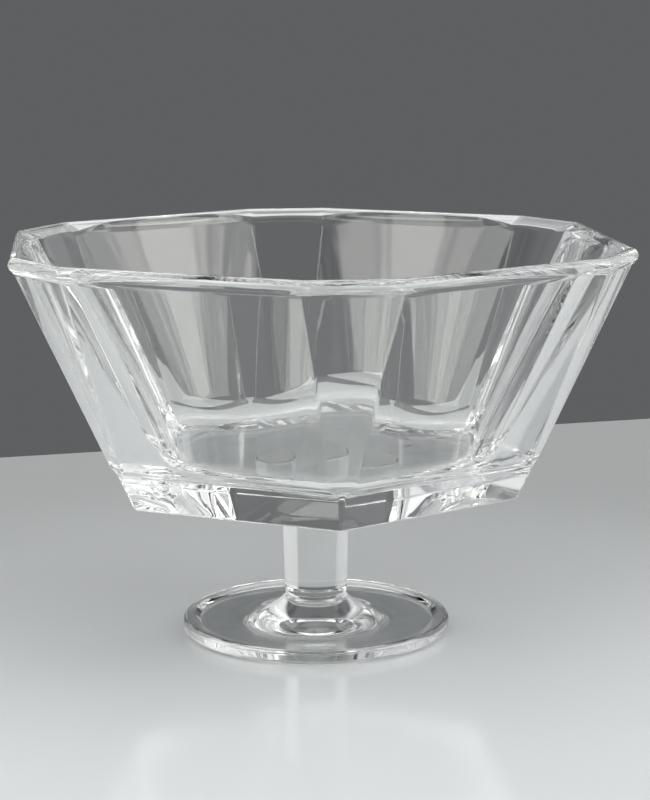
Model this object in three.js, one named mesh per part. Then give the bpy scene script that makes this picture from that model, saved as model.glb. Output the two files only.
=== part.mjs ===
// A footed fruit bowl of clear pressed glass: a deep six-sided bowl with cut-off corners,
// a round stem and a disc foot, held together by two clear films of adhesive.
// Millimetres, +Z up. The origin is the middle of the foot's flat underside, +X points at the
// middle of a long side and +Y at the middle of a corner facet.
import * as THREE from "three";
import { mergeVertices } from "three/addons/utils/BufferGeometryUtils.js";

// Sides of the bowl, long ones and corner facets by turns
const longSides = 6;
const sideAngle = (2 * Math.PI) / longSides;
const cornerAngle = sideAngle / 2;

// Outer faces of the bowl, as distances from its axis
const bowlHeight = 160;
const rimToLongSide = 120;
const rimToCorner = 128.2;
const undersideHeight = 60.8;
const undersideToLongSide = 74.4;
const undersideToCorner = 86.5;
const undersideEdgeRadius = 0.9;
const leastFacetHalfWidth = 0.4;

// Lip round the rim, and the bevel that falls from it into the bowl
const lipRadius = 2.8;
const lipDrop = 6.5;
const lipOverhang = 2.3;
const lipUndercutAngle = THREE.MathUtils.degToRad(50);
const bevelAngle = THREE.MathUtils.degToRad(19);

// Band round the thick base, let in behind the wall with a soft step
const bandTop = 77;
const bandInset = 1.4;
const bandStepHeight = 3;

// Hollow of the bowl: a shallow scoop on each long side, and a narrow panel across each corner.
// Towards the floor the panels narrow and stand further in, which rounds the scoops more.
const longSideWall = 4.6;
const cornerWallTop = 11.2;
const cornerWallBottom = 18;
const panelHalfWidthTop = 13.3;
const panelHalfWidthBottom = 9.8;
const panelRadius = 175;
const floorHeight = 76;
const floorFillet = 17;

// Stem, tapering down to a rounded lower end
const stemTopRadius = 13.9;
const stemBottomRadius = 12.8;
const stemTopEdge = 0.8;
const stemBottomEdge = 2.6;

// Foot, with a raised round rim and a flared collar under the stem
const footRadius = 54.6;
const footRimHeight = 5.4;
const footRimWidth = 6.9;
const footRimUnderRadius = 1.6;
const footPlateThickness = 4.3;
const collarHeight = 13.1;
const collarRadius = 13.4;
const collarEdge = 0.7;
const collarFlareRadius = 28;
const collarFlareStart = THREE.MathUtils.degToRad(45);

// Adhesive films
const bondThickness = 0.3;
const bondMargin = 0.4;

// How finely the curves are divided
const longSideSteps = 8;
const facetSteps = 3;
const lipUnderSteps = 3;
const lipOverSteps = 4;
const stepSteps = 4;
const wallSteps = 3;
const filletSteps = 6;
const roundSteps = 64;
const edgeSteps = 4;
const flareSteps = 8;

// Colours and finishes
const clearGlass = { color: 0xe9efec, roughness: 0.02, metalness: 0 };
const clearBond = { color: 0xf4f4ee, roughness: 0.15, metalness: 0 };

// How far out of upright the two kinds of wall lean, as run over rise
const wallTop = bowlHeight - lipDrop;
const wallRise = wallTop - undersideHeight;
const longSideLean = (rimToLongSide - lipOverhang - undersideToLongSide - bandInset) / wallRise;
const cornerLean = (rimToCorner - lipOverhang - undersideToCorner) / wallRise;

// Distances of the outer wall's faces from the axis at a height
const wallToLongSide = (z) => rimToLongSide - lipOverhang - (wallTop - z) * longSideLean;
const wallToCorner = (z) => rimToCorner - lipOverhang - (wallTop - z) * cornerLean;

// Direction of the middle of a side: 0 is a long side, 1 the corner facet after it, and so on
const sideDirection = (index) => new THREE.Vector2(1, 0).rotateAround(new THREE.Vector2(), index * cornerAngle);

// Evenly spaced numbers from the first value to the last, both included
const spread = (first, last, steps) =>
  Array.from({ length: steps + 1 }, (_, i) => THREE.MathUtils.lerp(first, last, i / steps));

// The points of one level, given the stretch of outline on a long side and the corner after it.
// longPoint(share) runs along a long side from -1 to 1, out from and along the side's direction.
// The corner's face is flat, or bowed out to a radius.
function level(longPoint, height, cornerRadius = Infinity) {
  const points = [];
  for (let side = 0; side < longSides; side++) {
    const out = sideDirection(2 * side);
    const along = new THREE.Vector2(-out.y, out.x);
    const nextOut = sideDirection(2 * side + 2);
    const nextAlong = new THREE.Vector2(-nextOut.y, nextOut.x);
    const place = (o, a, [far, aside]) =>
      new THREE.Vector2().addScaledVector(o, far).addScaledVector(a, aside);
    for (const share of spread(-1, 1, longSideSteps)) points.push(place(out, along, longPoint(share)));
    const from = points[points.length - 1];
    const to = place(nextOut, nextAlong, longPoint(-1));
    const bow = (from.distanceTo(to) / 2) ** 2 / (2 * cornerRadius);
    for (const share of spread(0, 1, facetSteps).slice(1, -1)) {
      const bowed = bow * (1 - (2 * share - 1) ** 2);
      points.push(from.clone().lerp(to, share).addScaledVector(sideDirection(2 * side + 1), bowed));
    }
  }
  return points.map((p) => new THREE.Vector3(p.x, p.y, height));
}

// A level of the outer faces: straight long sides cut off by the corner facets
function outerLevel(toLongSide, toCorner, height) {
  const sharpest = (toLongSide - leastFacetHalfWidth * Math.sin(cornerAngle)) / Math.cos(cornerAngle);
  const corner = Math.min(toCorner, sharpest);
  const halfLength = (corner - toLongSide * Math.cos(cornerAngle)) / Math.sin(cornerAngle);
  return level((share) => [toLongSide, share * halfLength], height);
}

// A level of the hollow: scoops as arcs from panel to panel, and the panels bowed between them
function innerLevel(toScoop, toPanel, halfPanel, height) {
  const halfChord = toPanel * Math.sin(cornerAngle) - halfPanel * Math.cos(cornerAngle);
  const depth = toScoop - toPanel * Math.cos(cornerAngle) - halfPanel * Math.sin(cornerAngle);
  const scoopRadius = (halfChord ** 2 + depth ** 2) / (2 * depth);
  const halfArc = Math.asin(halfChord / scoopRadius);
  const point = (share) => [
    toScoop - scoopRadius * (1 - Math.cos(share * halfArc)),
    scoopRadius * Math.sin(share * halfArc),
  ];
  return level(point, height, panelRadius);
}

// Where the hollow's wall stands at a height, with the fillet into the floor
function filleted(wall, lean, z) {
  const leanAngle = Math.atan(lean);
  const tangentHeight = floorHeight + floorFillet * (1 - Math.sin(leanAngle));
  if (z >= tangentHeight) return wall(z);
  const floorCut = floorFillet * Math.tan((Math.PI / 2 - leanAngle) / 2);
  const fall = floorHeight + floorFillet - z;
  return wall(floorHeight) - floorCut + Math.sqrt(Math.max(floorFillet ** 2 - fall ** 2, 0));
}

// The hollow's scoops and panels at a height
const hollowRise = wallTop - floorHeight;
const panelLean = cornerLean + (cornerWallBottom - cornerWallTop) / hollowRise;
const wallToPanel = (z) => wallToCorner(wallTop) - cornerWallTop - (wallTop - z) * panelLean;
const scoopAt = (z) => filleted((h) => wallToLongSide(h) - longSideWall, longSideLean, z);
const panelAt = (z) => filleted(wallToPanel, panelLean, z);
const halfPanelAt = (z) =>
  THREE.MathUtils.lerp(panelHalfWidthTop, panelHalfWidthBottom, (wallTop - z) / hollowRise);
const hollowLevel = (z) => innerLevel(scoopAt(z), panelAt(z), halfPanelAt(z), z);

// Shortest level distance from a point in to the rim's widest outline
function insetFromRim(point) {
  const insets = [];
  for (let side = 0; side < longSides; side++) {
    insets.push(rimToLongSide - sideDirection(2 * side).dot(new THREE.Vector2(point.x, point.y)));
    insets.push(rimToCorner - sideDirection(2 * side + 1).dot(new THREE.Vector2(point.x, point.y)));
  }
  return Math.min(...insets);
}

// The rim's lip as a turn from its underside over the crown to the bevel
const bevelStartTurn = Math.PI / 2 + bevelAngle;
const lipPoint = (turn) => ({
  inset: lipRadius * (1 - Math.cos(turn)),
  height: bowlHeight - lipRadius * (1 - Math.sin(turn)),
});

// The lip's turns, with its widest point and its crown among them
const lipTurns = [
  ...spread(-lipUndercutAngle, 0, lipUnderSteps),
  ...spread(0, Math.PI / 2, lipOverSteps).slice(1),
  bevelStartTurn,
];

function bevelHeight(inset) {
  const start = lipPoint(bevelStartTurn);
  return start.height - (inset - start.inset) * Math.tan(bevelAngle);
}

// The edge where the bevel meets the hollow: highest over the scoops, straight over the panels
function hollowEdge() {
  const rounds = 24;
  const first = hollowLevel(wallTop);
  return first.map((start, column) => {
    let point = start;
    for (let round = 0; round < rounds; round++) {
      const height = bevelHeight(insetFromRim(point));
      point = hollowLevel(height)[column];
    }
    return point;
  });
}

// A closed skin through rings of equally many points, from a middle point to a middle point
function skin(rings, firstMiddle, lastMiddle) {
  const count = rings[0].length;
  const points = [...rings.flat(), firstMiddle, lastMiddle];
  const firstIndex = points.length - 2;
  const lastIndex = points.length - 1;
  const faces = [];
  for (let column = 0; column < count; column++) {
    const next = (column + 1) % count;
    faces.push(firstIndex, next, column);
    for (let row = 0; row + 1 < rings.length; row++) {
      const low = row * count;
      const high = low + count;
      faces.push(low + column, low + next, high + next);
      faces.push(low + column, high + next, high + column);
    }
    const last = (rings.length - 1) * count;
    faces.push(last + column, last + next, lastIndex);
  }
  const geometry = new THREE.BufferGeometry().setFromPoints(points);
  geometry.setIndex(faces);
  return geometry;
}

// The bowl: up the outside, over the lip, down the hollow
function bowlGeometry() {
  const rings = [];
  const bandToLongSide = (z) => wallToLongSide(z) - bandInset;
  for (const turn of spread(0, Math.PI / 2, edgeSteps)) {
    const cut = undersideEdgeRadius * (1 - Math.sin(turn));
    const z = undersideHeight + undersideEdgeRadius * (1 - Math.cos(turn));
    rings.push(outerLevel(bandToLongSide(z) - cut, wallToCorner(z) - cut, z));
  }
  for (const share of spread(0, 1, stepSteps)) {
    const z = bandTop + (share - 1 / 2) * bandStepHeight;
    const inset = (bandInset * (1 + Math.cos(share * Math.PI))) / 2;
    rings.push(outerLevel(wallToLongSide(z) - inset, wallToCorner(z), z));
  }
  rings.push(outerLevel(wallToLongSide(wallTop), wallToCorner(wallTop), wallTop));
  for (const turn of lipTurns) {
    const { inset, height } = lipPoint(turn);
    rings.push(outerLevel(rimToLongSide - inset, rimToCorner - inset, height));
  }
  const edge = hollowEdge();
  rings.push(edge);
  const leanAngle = Math.atan(longSideLean);
  const filletTop = floorHeight + floorFillet * (1 - Math.sin(leanAngle));
  const lowest = Math.min(...edge.map((point) => point.z));
  for (const z of spread(lowest, filletTop, wallSteps).slice(1)) rings.push(hollowLevel(z));
  for (const turn of spread(leanAngle, Math.PI / 2, filletSteps).slice(1)) {
    rings.push(hollowLevel(floorHeight + floorFillet * (1 - Math.sin(turn))));
  }
  return skin(rings, new THREE.Vector3(0, 0, undersideHeight), new THREE.Vector3(0, 0, floorHeight));
}

// Points of an arc in the plane of radius and height, from one turn to another
const arc = (centreRadius, centreHeight, radius, fromTurn, toTurn, steps) =>
  spread(fromTurn, toTurn, steps).map(
    (turn) => new THREE.Vector2(centreRadius + radius * Math.cos(turn), centreHeight + radius * Math.sin(turn)),
  );

// A solid of revolution about the axis, its outline given from the bottom up
function turned(outline) {
  const geometry = new THREE.LatheGeometry(outline, roundSteps);
  geometry.rotateX(Math.PI / 2);
  geometry.deleteAttribute("normal");
  geometry.deleteAttribute("uv");
  return mergeVertices(geometry);
}

const stemBottom = collarHeight + bondThickness;
const stemTop = undersideHeight - bondThickness;

function stemGeometry() {
  const quarter = Math.PI / 2;
  return turned([
    new THREE.Vector2(0, stemBottom),
    ...arc(stemBottomRadius - stemBottomEdge, stemBottom + stemBottomEdge, stemBottomEdge, -quarter, 0, edgeSteps),
    ...arc(stemTopRadius - stemTopEdge, stemTop - stemTopEdge, stemTopEdge, 0, quarter, edgeSteps),
    new THREE.Vector2(0, stemTop),
  ]);
}

function footGeometry() {
  const quarter = Math.PI / 2;
  const rimCrown = footRimWidth / 2;
  const rimDip = footRimHeight - footPlateThickness;
  const crownRadius = (rimCrown ** 2 + rimDip ** 2) / (2 * rimDip);
  const crownTurn = Math.asin(rimCrown / crownRadius);
  const outerRound = (footRimHeight - footRimUnderRadius) / 2;
  const crownCentre = footRadius - footRimWidth + rimCrown;
  const flareFoot = collarRadius + collarFlareRadius * Math.sin(collarFlareStart);
  const flareCentre = footPlateThickness + collarFlareRadius;
  return turned([
    new THREE.Vector2(0, 0),
    ...arc(footRadius - footRimUnderRadius, footRimUnderRadius, footRimUnderRadius, -quarter, 0, edgeSteps),
    ...arc(footRadius - outerRound, footRimHeight - outerRound, outerRound, 0, quarter, edgeSteps),
    ...arc(crownCentre, footRimHeight - crownRadius, crownRadius, quarter, quarter + crownTurn, edgeSteps),
    ...arc(flareFoot, flareCentre, collarFlareRadius, -quarter, -quarter - collarFlareStart, flareSteps),
    ...arc(collarRadius - collarEdge, collarHeight - collarEdge, collarEdge, 0, quarter, edgeSteps),
    new THREE.Vector2(0, collarHeight),
  ]);
}

function bondGeometry(radius, bottom) {
  return turned([
    new THREE.Vector2(0, bottom),
    new THREE.Vector2(radius, bottom),
    new THREE.Vector2(radius, bottom + bondThickness),
    new THREE.Vector2(0, bottom + bondThickness),
  ]);
}

function piece(name, geometry, finish) {
  const mesh = new THREE.Mesh(geometry, new THREE.MeshStandardMaterial(finish));
  mesh.name = name;
  return mesh;
}

const upperBondRadius = stemTopRadius - stemTopEdge - bondMargin;
const lowerBondRadius = stemBottomRadius - stemBottomEdge - bondMargin;

const fruitBowl = new THREE.Group();
fruitBowl.add(
  piece("foot", footGeometry(), clearGlass),
  piece("foot_bond", bondGeometry(lowerBondRadius, collarHeight), clearBond),
  piece("stem", stemGeometry(), clearGlass),
  piece("bowl_bond", bondGeometry(upperBondRadius, stemTop), clearBond),
  piece("bowl", bowlGeometry(), clearGlass),
);

export default fruitBowl;
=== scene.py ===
import math

import bpy
from mathutils import Matrix, Vector, noise


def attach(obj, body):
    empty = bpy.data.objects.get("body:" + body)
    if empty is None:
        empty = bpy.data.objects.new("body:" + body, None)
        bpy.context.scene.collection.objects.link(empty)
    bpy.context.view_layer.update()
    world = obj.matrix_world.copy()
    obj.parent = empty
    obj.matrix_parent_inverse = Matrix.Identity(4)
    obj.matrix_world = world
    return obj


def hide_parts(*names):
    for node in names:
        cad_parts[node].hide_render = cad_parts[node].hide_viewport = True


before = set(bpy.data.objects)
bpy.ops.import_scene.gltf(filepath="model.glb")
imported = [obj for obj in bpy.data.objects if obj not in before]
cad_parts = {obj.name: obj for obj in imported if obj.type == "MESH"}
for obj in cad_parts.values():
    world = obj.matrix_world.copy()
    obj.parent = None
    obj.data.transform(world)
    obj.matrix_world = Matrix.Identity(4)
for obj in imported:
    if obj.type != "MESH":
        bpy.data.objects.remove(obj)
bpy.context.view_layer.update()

mm = 0.001
quarter_turn = math.pi / 2

# Sides of the bowl: a long side, the corner facet after it, and so on round
long_sides = 6
side_turn = math.tau / long_sides
corner_turn = side_turn / 2

# Outer faces of the bowl, as distances from its axis
rim_to_long_side = 120 * mm
rim_to_corner = 128.2 * mm
bowl_height = 160 * mm
underside_height = 60.8 * mm
underside_to_long_side = 74.4 * mm
underside_to_corner = 86.5 * mm
underside_edge_radius = 0.9 * mm
least_facet_half_width = 0.4 * mm

# Lip round the rim and the bevel inside it
lip_radius = 2.8 * mm
lip_drop = 6.5 * mm
lip_overhang = 2.3 * mm
lip_undercut = math.radians(50)
bevel_angle = math.radians(19)

# Band round the thick base
band_top = 77 * mm
band_inset = 1.4 * mm
band_step_height = 3 * mm

# Hollow of the bowl
long_side_wall = 4.6 * mm
corner_wall_top = 11.2 * mm
corner_wall_bottom = 18 * mm
panel_half_width_top = 13.3 * mm
panel_half_width_bottom = 9.8 * mm
panel_radius = 175 * mm
floor_height = 76 * mm
floor_fillet = 17 * mm

# Faint waves that pressing leaves on the hollow, longer down the wall than round it
wave_depth = 0.045 * mm
wave_across = 17 * mm
wave_down = 45 * mm

# Edges pressed a little round
outer_edge_ease = 1.1 * mm
scoop_edge_ease = 2.5 * mm
hollow_edge_ease = 1.2 * mm

# Stem
stem_top_radius = 13.9 * mm
stem_bottom_radius = 12.8 * mm
stem_top_edge = 0.8 * mm
stem_bottom_edge = 2.6 * mm

# Foot
foot_radius = 54.6 * mm
foot_rim_height = 5.4 * mm
foot_rim_width = 6.9 * mm
foot_rim_under_radius = 1.6 * mm
foot_plate_thickness = 4.3 * mm
collar_height = 13.1 * mm
collar_radius = 13.4 * mm
collar_edge = 0.7 * mm
collar_flare_radius = 28 * mm
collar_flare_start = math.radians(45)

# Adhesive films
film_thickness = 0.3 * mm
film_margin = 0.4 * mm
film_clearance = 0.02 * mm
upper_film_radius = stem_top_radius - stem_top_edge - film_margin
lower_film_radius = stem_bottom_radius - stem_bottom_edge - film_margin

# How finely the curves are divided
side_steps = 40
corner_steps = 6
facet_steps = 8
lip_under_steps = 8
lip_over_steps = 14
bevel_turn_steps = 4
wall_steps = 24
fillet_steps = 20
round_steps = 192
underside_edge_steps = 8
band_step_steps = 12
hollow_edge_steps = 6
stem_bottom_steps = 16
stem_top_steps = 10
foot_under_steps = 10
foot_side_steps = 14
foot_crown_steps = 12
collar_flare_steps = 40
collar_edge_steps = 8

# Where rows lie on flats, as shares of the way along them
floor_shares = (0.98, 0.6, 0.3)
stem_side_shares = (0.01, 0.25, 0.5, 0.75, 0.99)
foot_under_shares = (0.25, 0.5, 0.75, 0.98)
foot_plate_shares = (0.06, 0.5, 0.94)

# The most that an eased edge takes, as shares of half the facet and half the side beside it
ease_of_facet = 0.4
ease_of_side = 0.3

# Rounds in which the height of the bevel's inner edge settles
edge_rounds = 24

# Bends sharper than this stay sharp in the shading
sharp_turn = math.radians(30)

# Rows of points beside a bend, which keep the shading of the flat next to it flat
row_beside_bend = 0.5 * mm


def spread(first, last, steps):
    """Evenly spaced numbers from the first to the last, both included."""
    return [first + (last - first) * i / steps for i in range(steps + 1)]


def turned_point(point, turn):
    """A point of the level plane or of space, turned about the axis."""
    x, y = point[0], point[1]
    c, s = math.cos(turn), math.sin(turn)
    return (c * x - s * y, s * x + c * y, *point[2:])


# ---- the bowl, a sixth at a time: one long side and the facet after it ----

def sector(far_at, half, ease, height, facet_radius=None):
    """Points of one sixth of a level, for a side whose face is far_at(along) from the axis.

    The facet after the side is flat, or hollowed to facet_radius."""
    corner = (far_at(half), half)
    facet_way = (-math.sin(corner_turn), math.cos(corner_turn))
    facet_half = corner[0] * math.sin(corner_turn) - half * math.cos(corner_turn)
    cut = min(ease, ease_of_facet * facet_half, ease_of_side * half)
    before = (far_at(half - cut), half - cut)
    after = (corner[0] + cut * facet_way[0], corner[1] + cut * facet_way[1])
    bend = []
    for t in spread(0, 1, corner_steps)[1:]:
        bend.append(tuple((1 - t) ** 2 * before[k] + 2 * t * (1 - t) * corner[k] + t * t * after[k]
                          for k in range(2)))
    straight = [(far_at(a), a) for a in spread(-before[1], before[1], side_steps)]
    side = [(x, -y) for x, y in reversed(bend)] + straight + bend
    next_start = turned_point(side[0], side_turn)
    bow = (math.dist(side[-1], next_start) / 2) ** 2 / (2 * facet_radius) if facet_radius else 0
    facet_out = (math.cos(corner_turn), math.sin(corner_turn))
    facet = [tuple(side[-1][k] + (next_start[k] - side[-1][k]) * q + 4 * q * (1 - q) * bow * facet_out[k]
                   for k in range(2)) for q in spread(0, 1, facet_steps)[1:-1]]
    return [(x, y, height) for x, y in side + facet]


def outer_sector(to_side, to_corner, height):
    """A sixth of a level of the outer faces."""
    sharpest = (to_side - least_facet_half_width * math.sin(corner_turn)) / math.cos(corner_turn)
    to_corner = min(to_corner, sharpest)
    half = (to_corner - to_side * math.cos(corner_turn)) / math.sin(corner_turn)
    return sector(lambda along: to_side, half, outer_edge_ease, height)


def hollow_sector_at(to_scoop, to_panel, half_panel, height):
    """A sixth of a level of the hollow, its long side the arc of a scoop between two panels."""
    c, s = math.cos(corner_turn), math.sin(corner_turn)
    half = to_panel * s - half_panel * c
    depth = to_scoop - (to_panel * c + half_panel * s)
    scoop_radius = (half ** 2 + depth ** 2) / (2 * depth)
    arc_at = lambda along: to_scoop - scoop_radius + math.sqrt(scoop_radius ** 2 - along ** 2)
    return sector(arc_at, half, scoop_edge_ease, height, panel_radius)


wall_top = bowl_height - lip_drop
wall_rise = wall_top - underside_height
long_side_lean = (rim_to_long_side - lip_overhang - underside_to_long_side - band_inset) / wall_rise
corner_lean = (rim_to_corner - lip_overhang - underside_to_corner) / wall_rise


def wall_to_long_side(z):
    return rim_to_long_side - lip_overhang - (wall_top - z) * long_side_lean


def wall_to_corner(z):
    return rim_to_corner - lip_overhang - (wall_top - z) * corner_lean


def filleted(wall, lean, z):
    """Where a wall of the hollow stands at a height, with the fillet into the floor."""
    lean_angle = math.atan(lean)
    if z >= floor_height + floor_fillet * (1 - math.sin(lean_angle)):
        return wall(z)
    floor_cut = floor_fillet * math.tan((quarter_turn - lean_angle) / 2)
    fall = floor_height + floor_fillet - z
    return wall(floor_height) - floor_cut + math.sqrt(max(floor_fillet ** 2 - fall ** 2, 0))


hollow_rise = wall_top - floor_height
panel_lean = corner_lean + (corner_wall_bottom - corner_wall_top) / hollow_rise


def hollow_sector(z):
    share = (wall_top - z) / hollow_rise
    half_panel = panel_half_width_top + (panel_half_width_bottom - panel_half_width_top) * share
    scoop = filleted(lambda h: wall_to_long_side(h) - long_side_wall, long_side_lean, z)
    panel = filleted(lambda h: wall_to_corner(wall_top) - corner_wall_top - (wall_top - h) * panel_lean,
                     panel_lean, z)
    return hollow_sector_at(scoop, panel, half_panel, z)


def lip_point(turn):
    """Inset from the rim's widest outline, and height, of the lip at a turn."""
    return lip_radius * (1 - math.cos(turn)), bowl_height - lip_radius * (1 - math.sin(turn))


# The lip's turns, with its widest point and its crown among them
lip_turns = (spread(-lip_undercut, 0, lip_under_steps)
             + spread(0, quarter_turn, lip_over_steps)[1:]
             + spread(quarter_turn, quarter_turn + bevel_angle, bevel_turn_steps)[1:])


def inset_from_rim(point):
    """Shortest level distance from a point in to the rim's widest outline."""
    insets = []
    for side in range(-1, 3):
        turn = side * corner_turn
        reach = rim_to_corner if side % 2 else rim_to_long_side
        insets.append(reach - point[0] * math.cos(turn) - point[1] * math.sin(turn))
    return min(insets)


def hollow_edge():
    """The edge where the bevel meets the hollow, with each column's height found in turn."""
    start_inset, start_height = lip_point(quarter_turn + bevel_angle)
    edge = hollow_sector(wall_top)
    for _ in range(edge_rounds):
        for column, point in enumerate(edge):
            height = start_height - (inset_from_rim(point) - start_inset) * math.tan(bevel_angle)
            edge[column] = hollow_sector(height)[column]
    return edge


def eased(before, edge, after, steps):
    """Rows that take an edge round, between the same columns of two rows."""
    rows = []
    for t in spread(0, 1, steps):
        rows.append([tuple((1 - t) ** 2 * b[k] + 2 * t * (1 - t) * e[k] + t * t * a[k] for k in range(3))
                     for b, e, a in zip(before, edge, after)])
    return rows


def toward(start, goal, distance):
    """The point at a distance from one point toward another."""
    share = min(1, distance / max(math.dist(start, goal), 1e-9))
    return tuple(s + (g - s) * share for s, g in zip(start, goal))


def waved(row):
    """A row of the hollow with the faint waves of pressed glass."""
    out = []
    for x, y, z in row:
        depth = wave_depth * noise.noise(Vector((x / wave_across, y / wave_across, z / wave_down)))
        reach = math.hypot(x, y)
        out.append((x * (1 + depth / reach), y * (1 + depth / reach), z))
    return out


def bowl_rows():
    """The bowl's skin as sixths of rows, from the underside's film edge to the hollow's floor."""
    rows = []
    band = lambda z: wall_to_long_side(z) - band_inset
    flat = underside_edge_radius + row_beside_bend
    rows.append(outer_sector(band(underside_height) - flat, wall_to_corner(underside_height) - flat,
                             underside_height))
    for turn in spread(0, quarter_turn, underside_edge_steps):
        cut = underside_edge_radius * (1 - math.sin(turn))
        z = underside_height + underside_edge_radius * (1 - math.cos(turn))
        rows.append(outer_sector(band(z) - cut, wall_to_corner(z) - cut, z))
    step_bottom = band_top - band_step_height / 2
    for z in (underside_height + flat, step_bottom - row_beside_bend):
        rows.append(outer_sector(band(z), wall_to_corner(z), z))
    for share in spread(0, 1, band_step_steps):
        z = step_bottom + share * band_step_height
        inset = band_inset * (1 + math.cos(share * math.pi)) / 2
        rows.append(outer_sector(wall_to_long_side(z) - inset, wall_to_corner(z), z))
    for z in spread(step_bottom + band_step_height + row_beside_bend, wall_top - row_beside_bend, wall_steps):
        rows.append(outer_sector(wall_to_long_side(z), wall_to_corner(z), z))
    rows.append(outer_sector(wall_to_long_side(wall_top), wall_to_corner(wall_top), wall_top))
    for turn in lip_turns:
        inset, z = lip_point(turn)
        rows.append(outer_sector(rim_to_long_side - inset, rim_to_corner - inset, z))
    edge = hollow_edge()
    above = [toward(e, l, hollow_edge_ease) for e, l in zip(edge, rows[-1])]
    rows.append([toward(l, e, row_beside_bend) for e, l in zip(edge, rows[-1])])
    below = [hollow_sector(e[2] - hollow_edge_ease)[column] for column, e in enumerate(edge)]
    rows += eased(above, edge, below, hollow_edge_steps)
    lean_angle = math.atan(long_side_lean)
    fillet_top = floor_height + floor_fillet * (1 - math.sin(lean_angle))
    for share in spread(0, 1, wall_steps)[1:]:
        rows.append([hollow_sector(b[2] + (fillet_top - b[2]) * share)[column]
                     for column, b in enumerate(below)])
    for turn in spread(lean_angle, quarter_turn, fillet_steps)[1:]:
        rows.append(hollow_sector(floor_height + floor_fillet * (1 - math.sin(turn))))
    last = rows[-1]
    for share in floor_shares:
        rows.append([(x * share, y * share, z) for x, y, z in last])
    return rows


def whole_rings(rows):
    """Rings of the whole bowl from rows of its first sixth, with waves in the hollow."""
    rings = [[turned_point(p, side * side_turn) for side in range(long_sides) for p in row] for row in rows]
    first_waved = len(rings) - wall_steps - fillet_steps - len(floor_shares)
    return rings[:first_waved] + [waved(ring) for ring in rings[first_waved:]]


# ---- turned pieces ----

def arc(centre_radius, centre_height, radius, first_turn, last_turn, steps):
    return [(centre_radius + radius * math.cos(t), centre_height + radius * math.sin(t))
            for t in spread(first_turn, last_turn, steps)]


def round_rings(outline):
    """Rings of a solid of revolution from its outline of radius and height, bottom up."""
    return [[(r * math.cos(t), r * math.sin(t), z)
             for t in (math.tau * i / round_steps for i in range(round_steps))] for r, z in outline]


stem_bottom = collar_height + film_thickness
stem_top = underside_height - film_thickness


def stem_outline():
    """The stem from its lower film, up its tapering side, to its upper film."""
    low = stem_bottom_radius - stem_bottom_edge
    high = stem_top_radius - stem_top_edge
    side_low = (stem_bottom_radius, stem_bottom + stem_bottom_edge)
    side_high = (stem_top_radius, stem_top - stem_top_edge)
    side = [tuple(a + (b - a) * share for a, b in zip(side_low, side_high))
            for share in stem_side_shares]
    return ([(lower_film_radius, stem_bottom)]
            + arc(low, stem_bottom + stem_bottom_edge, stem_bottom_edge, -quarter_turn, 0,
                  stem_bottom_steps)
            + side
            + arc(high, stem_top - stem_top_edge, stem_top_edge, 0, quarter_turn, stem_top_steps)
            + [(upper_film_radius, stem_top)])


def foot_outline():
    """The foot from the middle of its underside, over rim and plate, to the collar's film."""
    rim_crown = foot_rim_width / 2
    rim_dip = foot_rim_height - foot_plate_thickness
    crown_radius = (rim_crown ** 2 + rim_dip ** 2) / (2 * rim_dip)
    crown_turn = math.asin(rim_crown / crown_radius)
    outer_round = (foot_rim_height - foot_rim_under_radius) / 2
    crown_centre = foot_radius - foot_rim_width + rim_crown
    flare_foot = collar_radius + collar_flare_radius * math.sin(collar_flare_start)
    plate_in = foot_radius - foot_rim_width
    under = foot_radius - foot_rim_under_radius
    return ([(under * share, 0) for share in foot_under_shares]
            + arc(under, foot_rim_under_radius, foot_rim_under_radius, -quarter_turn, 0,
                  foot_under_steps)
            + arc(foot_radius - outer_round, foot_rim_height - outer_round, outer_round,
                  0, quarter_turn, foot_side_steps)
            + arc(crown_centre, foot_rim_height - crown_radius, crown_radius, quarter_turn,
                  quarter_turn + crown_turn, foot_crown_steps)
            + [(plate_in + (flare_foot - plate_in) * share, foot_plate_thickness)
               for share in foot_plate_shares]
            + arc(flare_foot, foot_plate_thickness + collar_flare_radius, collar_flare_radius,
                  -quarter_turn, -quarter_turn - collar_flare_start, collar_flare_steps)
            + arc(collar_radius - collar_edge, collar_height - collar_edge, collar_edge,
                  0, quarter_turn, collar_edge_steps)
            + [(lower_film_radius, collar_height)])


# ---- meshes ----

def skin(name, rings):
    """A closed skin through rings of equally many points, with a fan over each end."""
    count = len(rings[0])
    points = [p for ring in rings for p in ring]
    points += [(0, 0, rings[0][0][2]), (0, 0, rings[-1][0][2])]
    faces = []
    for c in range(count):
        n = (c + 1) % count
        faces.append((len(points) - 2, n, c))
        for r in range(len(rings) - 1):
            low, high = r * count, (r + 1) * count
            faces.append((low + c, low + n, high + n, high + c))
        last = (len(rings) - 1) * count
        faces.append((last + c, last + n, len(points) - 1))
    mesh = bpy.data.meshes.new(name)
    mesh.from_pydata(points, [], faces)
    mesh.shade_smooth()
    mesh.set_sharp_from_angle(angle=sharp_turn)
    piece = bpy.data.objects.new(name, mesh)
    bpy.context.scene.collection.objects.link(piece)
    return piece


def bonded_where(piece, radius, heights):
    """Gives the faces that lie flat against an adhesive film the second material."""
    for face in piece.data.polygons:
        centre = face.center
        at_film = any(abs(centre.z - h) < 0.01 * mm for h in heights)
        if at_film and abs(face.normal.z) > 0.9 and math.hypot(centre.x, centre.y) < radius:
            face.material_index = 1


# ---- finishes ----

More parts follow.
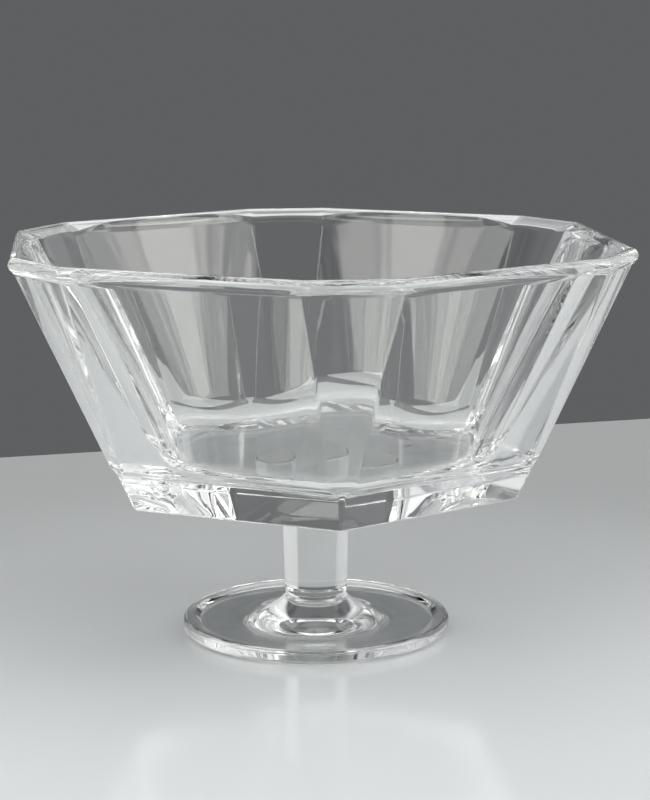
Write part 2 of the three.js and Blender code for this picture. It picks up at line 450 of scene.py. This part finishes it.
def pressed_surface():
    """Faint waves and haze of pressed glass, as a roughness and a normal."""
    group = bpy.data.node_groups.new("pressed_surface", "ShaderNodeTree")
    face = group.interface
    for name, value in (("Wave Size", 30.0), ("Wave Depth", 0.0001), ("Haze", 0.01)):
        socket = face.new_socket(name, in_out="INPUT", socket_type="NodeSocketFloat")
        socket.default_value = value
    face.new_socket("Roughness", in_out="OUTPUT", socket_type="NodeSocketFloat")
    face.new_socket("Normal", in_out="OUTPUT", socket_type="NodeSocketVector")
    nodes, links = group.nodes, group.links
    given = nodes.new("NodeGroupInput")
    put = nodes.new("NodeGroupOutput")
    place = nodes.new("ShaderNodeTexCoord")
    waves = nodes.new("ShaderNodeTexNoise")
    waves.inputs["Detail"].default_value = 1.0
    links.new(place.outputs["Object"], waves.inputs["Vector"])
    links.new(given.outputs["Wave Size"], waves.inputs["Scale"])
    bump = nodes.new("ShaderNodeBump")
    links.new(waves.outputs["Fac"], bump.inputs["Height"])
    links.new(given.outputs["Wave Depth"], bump.inputs["Distance"])
    links.new(bump.outputs["Normal"], put.inputs["Normal"])
    smudges = nodes.new("ShaderNodeTexNoise")
    smudges.inputs["Scale"].default_value = 18.0
    smudges.inputs["Detail"].default_value = 4.0
    links.new(place.outputs["Object"], smudges.inputs["Vector"])
    only_some = nodes.new("ShaderNodeMapRange")
    only_some.inputs["From Min"].default_value = 0.5
    only_some.inputs["From Max"].default_value = 0.8
    links.new(smudges.outputs["Fac"], only_some.inputs["Value"])
    links.new(given.outputs["Haze"], only_some.inputs["To Max"])
    links.new(only_some.outputs["Result"], put.inputs["Roughness"])
    return group


def clear_glass(name, tint, ior, surface, wave_size, wave_depth, haze):
    material = bpy.data.materials.new(name)
    material.use_nodes = True
    nodes, links = material.node_tree.nodes, material.node_tree.links
    shader = nodes["Principled BSDF"]
    shader.inputs["Base Color"].default_value = (*tint, 1)
    shader.inputs["IOR"].default_value = ior
    shader.inputs["Metallic"].default_value = 0.0
    shader.inputs["Transmission Weight"].default_value = 1.0
    worn = nodes.new("ShaderNodeGroup")
    worn.node_tree = surface
    worn.inputs["Wave Size"].default_value = wave_size
    worn.inputs["Wave Depth"].default_value = wave_depth
    worn.inputs["Haze"].default_value = haze
    links.new(worn.outputs["Roughness"], shader.inputs["Roughness"])
    links.new(worn.outputs["Normal"], shader.inputs["Normal"])
    return material


surface = pressed_surface()
glass_tint = (0.975, 0.985, 0.98)
glass_ior = 1.5
glass_wave_depth = 0.00006
glass_haze = 0.02
bowl_finish = clear_glass("bowl_glass", glass_tint, glass_ior, surface,
                          wave_size=40, wave_depth=glass_wave_depth, haze=glass_haze)
stem_finish = clear_glass("stem_glass", glass_tint, glass_ior, surface,
                          wave_size=30, wave_depth=glass_wave_depth, haze=glass_haze)
foot_finish = clear_glass("foot_glass", glass_tint, glass_ior, surface,
                          wave_size=50, wave_depth=glass_wave_depth, haze=glass_haze)
film_finish = clear_glass("adhesive_film", (0.98, 0.98, 0.97), 1.49, surface,
                          wave_size=200, wave_depth=0.00002, haze=0.05)

# Glass that touches a film doesn't bend light there, and the cured film makes it a little cloudy
bonded_finish = bpy.data.materials.new("bonded_face")
bonded_finish.use_nodes = True
bonded = bonded_finish.node_tree.nodes["Principled BSDF"]
bonded.inputs["Base Color"].default_value = (0.93, 0.945, 0.94, 1)
bonded.inputs["Roughness"].default_value = 0.0
bonded.inputs["IOR"].default_value = 1.0
bonded.inputs["Transmission Weight"].default_value = 0.5

# ---- the five pieces ----

bowl_rings = whole_rings(bowl_rows())
film_ring = [(upper_film_radius * x / math.hypot(x, y), upper_film_radius * y / math.hypot(x, y), z)
             for x, y, z in bowl_rings[0]]
bowl = skin("bowl_fine", [film_ring] + bowl_rings)
bonded_where(bowl, upper_film_radius, (underside_height,))

stem = skin("stem_fine", round_rings(stem_outline()))
bonded_where(stem, upper_film_radius, (stem_top,))
bonded_where(stem, lower_film_radius, (stem_bottom,))

foot = skin("foot_fine", round_rings(foot_outline()))
bonded_where(foot, lower_film_radius, (collar_height,))


def film(name, radius, below):
    """A film a hair thinner than its gap, because faces in one place would shade each other."""
    bottom = below + film_clearance
    top = below + film_thickness - film_clearance
    piece = skin(name, round_rings([(radius, bottom), (radius, top)]))
    bonded_where(piece, radius, (bottom, top))
    return piece


upper_film = film("bowl_film", upper_film_radius, stem_top)
lower_film = film("foot_film", lower_film_radius, collar_height)

for piece, node, slot, finish in (
    (bowl, "bowl", "bowl_glass", bowl_finish),
    (stem, "stem", "stem_glass", stem_finish),
    (foot, "foot", "foot_glass", foot_finish),
    (upper_film, "bowl_bond", "clear_adhesive", film_finish),
    (lower_film, "foot_bond", "clear_adhesive", film_finish),
):
    piece.data.materials.append(finish)
    piece.data.materials.append(bonded_finish)
    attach(piece, "root")
    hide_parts(node)

# ---- table, light and camera ----

table_depth_behind = 0.377
table_aside = 0.0455
table_skew = math.radians(9.4)
table_half_width = 0.9
table_front = 0.75
table_drop = 0.1 * mm

# The table's colour holds painted shade: grey towards the wall behind and paler near the front, as
# falling-off light would make it, changing between these distances behind the bowl's axis
table_painted_shade_from = 0.3
table_painted_light_from = -0.2
table_painted_shade_grey = (0.49, 0.505, 0.51, 1)
table_painted_light_pale = (0.82, 0.845, 0.865, 1)

table_mesh = bpy.data.meshes.new("table_top")
across = Vector((math.cos(table_skew), math.sin(table_skew), 0))
back = Vector((-math.sin(table_skew), math.cos(table_skew), 0))
middle = Vector((table_aside, table_depth_behind, -table_drop))
forth = back * (table_front + table_depth_behind)
corners = [middle - across * table_half_width, middle + across * table_half_width]
corners += [corners[1] - forth, corners[0] - forth]
table_mesh.from_pydata([tuple(c) for c in corners], [], [(0, 3, 2, 1)])
table = bpy.data.objects.new("table_top", table_mesh)
bpy.context.scene.collection.objects.link(table)
table_painted_falloff_finish = bpy.data.materials.new("table_white_painted_falloff")
table_painted_falloff_finish.use_nodes = True
table_shader = table_painted_falloff_finish.node_tree.nodes["Principled BSDF"]
table_shader.inputs["Roughness"].default_value = 0.12
table_nodes, table_links = table_painted_falloff_finish.node_tree.nodes, table_painted_falloff_finish.node_tree.links
table_place = table_nodes.new("ShaderNodeTexCoord")
table_split = table_nodes.new("ShaderNodeSeparateXYZ")
table_links.new(table_place.outputs["Object"], table_split.inputs[0])
# Painted shade: the base colour goes from pale in front to grey behind, standing in for light that falls off
# towards the wall
painted_falloff_share = table_nodes.new("ShaderNodeMapRange")
painted_falloff_share.interpolation_type = "SMOOTHSTEP"
painted_falloff_share.inputs["From Min"].default_value = table_painted_shade_from
painted_falloff_share.inputs["From Max"].default_value = table_painted_light_from
table_links.new(table_split.outputs["Y"], painted_falloff_share.inputs["Value"])
painted_falloff_mix = table_nodes.new("ShaderNodeMix")
painted_falloff_mix.data_type = "RGBA"
painted_falloff_mix.inputs["A"].default_value = table_painted_shade_grey
painted_falloff_mix.inputs["B"].default_value = table_painted_light_pale
table_links.new(painted_falloff_share.outputs["Result"], painted_falloff_mix.inputs["Factor"])
table_links.new(painted_falloff_mix.outputs["Result"], table_shader.inputs["Base Color"])
table_mesh.materials.append(table_painted_falloff_finish)


def panel_light():
    """A soft-edged panel of light far away, by its turn from behind the bowl and its elevation."""
    group = bpy.data.node_groups.new("panel_light", "ShaderNodeTree")
    face = group.interface
    face.new_socket("Way", in_out="INPUT", socket_type="NodeSocketVector")
    for name in ("Turn", "Half Width", "Lowest", "Highest", "Softness", "Brightness"):
        face.new_socket(name, in_out="INPUT", socket_type="NodeSocketFloat")
    face.new_socket("Tint", in_out="INPUT", socket_type="NodeSocketColor")
    face.new_socket("Light", in_out="OUTPUT", socket_type="NodeSocketColor")
    nodes, links = group.nodes, group.links
    given = nodes.new("NodeGroupInput")
    put = nodes.new("NodeGroupOutput")

    def figure(operation, *values):
        node = nodes.new("ShaderNodeMath")
        node.operation = operation
        for socket, value in zip(node.inputs, values):
            if isinstance(value, (int, float)):
                socket.default_value = value
            else:
                links.new(value, socket)
        return node.outputs[0]

    def rising(value, edge):
        """From 0 to 1 as the value passes the edge, over the softness to either side."""
        node = nodes.new("ShaderNodeMapRange")
        node.interpolation_type = "SMOOTHSTEP"
        links.new(value, node.inputs["Value"])
        links.new(figure("SUBTRACT", edge, given.outputs["Softness"]), node.inputs["From Min"])
        links.new(figure("ADD", edge, given.outputs["Softness"]), node.inputs["From Max"])
        return node.outputs["Result"]

    turned = nodes.new("ShaderNodeVectorRotate")
    turned.rotation_type = "Z_AXIS"
    links.new(given.outputs["Way"], turned.inputs["Vector"])
    links.new(given.outputs["Turn"], turned.inputs["Angle"])
    split = nodes.new("ShaderNodeSeparateXYZ")
    links.new(turned.outputs["Vector"], split.inputs[0])
    aside = figure("ABSOLUTE", figure("ARCTAN2", split.outputs["X"], split.outputs["Y"]))
    elevation = figure("ARCSINE", split.outputs["Z"])
    outside = rising(aside, given.outputs["Half Width"])
    above = rising(elevation, given.outputs["Lowest"])
    below = figure("SUBTRACT", 1, rising(elevation, given.outputs["Highest"]))
    share = figure("MULTIPLY", figure("MULTIPLY", above, below), figure("SUBTRACT", 1, outside))
    scale = nodes.new("ShaderNodeVectorMath")
    scale.operation = "SCALE"
    links.new(given.outputs["Tint"], scale.inputs[0])
    links.new(figure("MULTIPLY", share, given.outputs["Brightness"]), scale.inputs["Scale"])
    links.new(scale.outputs[0], put.inputs["Light"])
    return group


white = (1.0, 1.0, 1.0, 1)
warm = (1.0, 1.0, 0.96, 1)
slate = (0.94, 0.965, 1.0, 1)
down = -100

# The room round the bowl: name, turn and half width, lowest and highest elevation, softness,
# in degrees, then brightness and tint. Turn 0 is straight behind the bowl, + towards the right.
room = (
    ("wall_behind", 3, 26, down, 28, 3, 0.12, slate),
    ("wall_back_left", -42, 18, down, 50, 3, 0.6, slate),
    ("dark_left", -75, 14, down, 24, 3, 0.2, slate),
    ("left_high", -82, 14, 27, 58, 3, 0.8, white),
    ("wall_back_right", 50, 19, down, 50, 3, 0.9, white),
    ("high_behind", 2, 26, 35, 58, 3, 2.2, white),
    ("right_low", 82, 12, down, 20, 3, 0.9, white),
    ("right_high", 80, 9, 23, 60, 2, 1.6, white),
    ("right_window_side", 93, 6, 21, 45, 1.5, 2.4, warm),
    ("right_window", 113, 13, 21, 45, 1.5, 4.8, warm),
    ("right_window_front", 138, 11, 21, 45, 1.5, 2.8, warm),
    ("right_room", 125, 30, down, 18, 3, 0.8, white),
    ("camera_side", 170, 14, down, 16, 3, 1.3, white),
    ("camera_high", 174, 16, 20, 40, 3, 0.6, white),
    ("left_window_side", -104, 7, 23, 45, 1.5, 2.4, warm),
    ("left_window", -122, 10, 23, 45, 1.5, 4.4, warm),
    ("left_window_front", -144, 11, 23, 45, 1.5, 3.4, warm),
    ("left_room_side", -96.5, 7.5, down, 22, 3, 0.35, white),
    ("left_room", -130, 26, down, 20, 3, 0.5, white),
    ("left_front", -163, 12, down, 20, 2, 1.6, white),
    ("ceiling", 0, 200, 60, 100, 4, 1.1, white),
)

world = bpy.data.worlds.new("studio")
bpy.context.scene.world = world
world.use_nodes = True
nodes, links = world.node_tree.nodes, world.node_tree.links
way = nodes.new("ShaderNodeTexCoord")
panel = panel_light()
total = None
for name, turn, half_width, lowest, highest, softness, brightness, tint in room:
    light = nodes.new("ShaderNodeGroup")
    light.name = name
    light.node_tree = panel
    links.new(way.outputs["Generated"], light.inputs["Way"])
    for socket, degrees in (("Turn", turn), ("Half Width", half_width), ("Lowest", lowest),
                            ("Highest", highest), ("Softness", softness)):
        light.inputs[socket].default_value = math.radians(degrees)
    light.inputs["Brightness"].default_value = brightness
    light.inputs["Tint"].default_value = tint
    if total is None:
        total = light.outputs["Light"]
    else:
        both = nodes.new("ShaderNodeVectorMath")
        both.operation = "ADD"
        links.new(total, both.inputs[0])
        links.new(light.outputs["Light"], both.inputs[1])
        total = both.outputs[0]
links.new(total, nodes["Background"].inputs["Color"])

# Light passes many faces of the thick glass before it leaves it
bpy.context.scene.cycles.max_bounces = 32
bpy.context.scene.cycles.transmission_bounces = 32
bpy.context.scene.cycles.glossy_bounces = 16

# The camera stands where the photo was taken from, and the bowl keeps its own axes
focal_pixels = 2152.78
camera_distance = 0.8571
camera_height = 0.25645
camera_pitch = math.radians(10.7044)
camera_yaw = -0.0046
camera_roll = 0.0030
bowl_turned = math.radians(6.019)
picture_height = 800
sensor = 36

lens = bpy.data.cameras.new("camera")
lens.sensor_fit = "VERTICAL"
lens.sensor_width = sensor
lens.sensor_height = sensor
lens.lens = focal_pixels * sensor / picture_height
lens.clip_start = 0.01
camera = bpy.data.objects.new("camera", lens)
bpy.context.scene.collection.objects.link(camera)
right = Vector((math.cos(camera_yaw), math.sin(camera_yaw), 0))
forward = Vector((-math.sin(camera_yaw) * math.cos(camera_pitch),
                  math.cos(camera_yaw) * math.cos(camera_pitch), -math.sin(camera_pitch)))
upward = right.cross(forward)
aim = Matrix((right, upward, -forward)).transposed() @ Matrix.Rotation(-camera_roll, 3, "Z")
swing = Matrix.Rotation(-bowl_turned, 3, "Z")
stand = (swing @ aim).to_4x4()
stand.translation = swing @ Vector((0, -camera_distance, camera_height))
camera.matrix_world = stand
bpy.context.scene.camera = camera
bpy.context.scene.view_settings.view_transform = "Standard"
